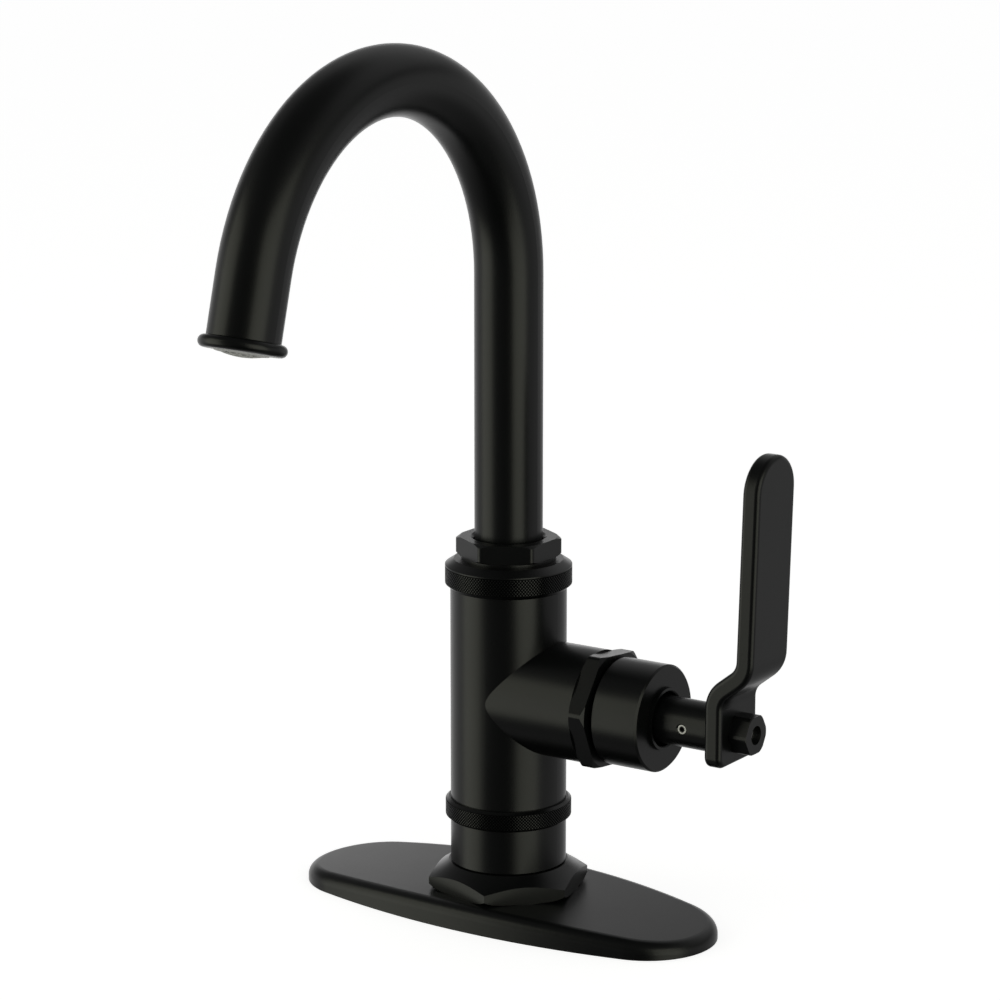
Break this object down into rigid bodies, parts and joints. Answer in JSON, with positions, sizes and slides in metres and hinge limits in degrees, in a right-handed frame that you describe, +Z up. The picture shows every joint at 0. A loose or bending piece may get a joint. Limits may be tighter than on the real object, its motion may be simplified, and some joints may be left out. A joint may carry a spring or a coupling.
{
  "type": "bar faucet",
  "caption": "Single-lever bar faucet: gooseneck spout that swivels on a turned body, side valve with an upright lever, oval deck plate and threaded shank.",
  "frame": {"origin": "on the body's axis, on the deck surface that the plate and its gasket stand on", "axes": "+Z up along the body and the shank, -Y forward along the spout, +X out along the valve to the lever"},
  "size_m": [0.1764, 0.1815, 0.3465],
  "materials": {
    "satin_black": "satin black coat over brass",
    "bare_brass": "machined",
    "steel": "zinc plated",
    "rubber": "moulded",
    "pale_plastic": "moulded",
    "ceramic": "lapped"
  },
  "bodies": {
    "faucet_base": {"deck_plate": "satin_black", "base_flange": "satin_black", "lower_sleeve": "satin_black", "lower_knurled_ring": "satin_black", "body": "satin_black", "upper_knurled_ring": "satin_black", "spout_nut": "satin_black", "bonnet_nut": "satin_black", "valve_cap": "satin_black", "shank": "bare_brass", "cold_inlet": "bare_brass", "hot_inlet": "bare_brass", "deck_gasket": "rubber", "base_seal": "rubber", "port_seals": "rubber", "lower_glide_ring": "pale_plastic", "upper_glide_ring": "pale_plastic", "cartridge_housing": "pale_plastic", "cartridge_base": "pale_plastic", "fixed_disc": "ceramic"},
    "spout": {"spout_tube": "satin_black", "outlet_ring": "satin_black", "spout_pivot": "bare_brass", "spout_o_rings": "rubber", "aerator_washer": "rubber", "aerator_housing": "pale_plastic", "aerator_screen": "pale_plastic", "aerator_flow_disc": "pale_plastic"},
    "lever_assembly": {"lever": "satin_black", "lever_stem": "satin_black", "lever_nut": "satin_black", "set_screw": "steel", "lever_stud": "steel", "cartridge_spindle": "bare_brass", "spindle_seal": "rubber", "moving_disc": "ceramic"},
    "deck_clamp": {"shank_gasket": "rubber", "shank_washer": "steel", "locknut": "bare_brass"}
  },
  "joints": [
    {"name": "spout_swivel", "type": "hinge", "parent": "faucet_base", "child": "spout", "pos_m": [0, 0, 0.1142], "axis": [0, 0, 1], "continuous": true},
    {"name": "lever_turn", "type": "hinge", "parent": "faucet_base", "child": "lever_assembly", "pos_m": [0.0808, 0, 0.0744], "axis": [1, 0, 0], "range_deg": [0, 100]},
    {"name": "clamp_travel", "type": "slide", "parent": "faucet_base", "child": "deck_clamp", "axis": [0, 0, -1], "range_m": [-0.0155, 0.1]}
  ]
}
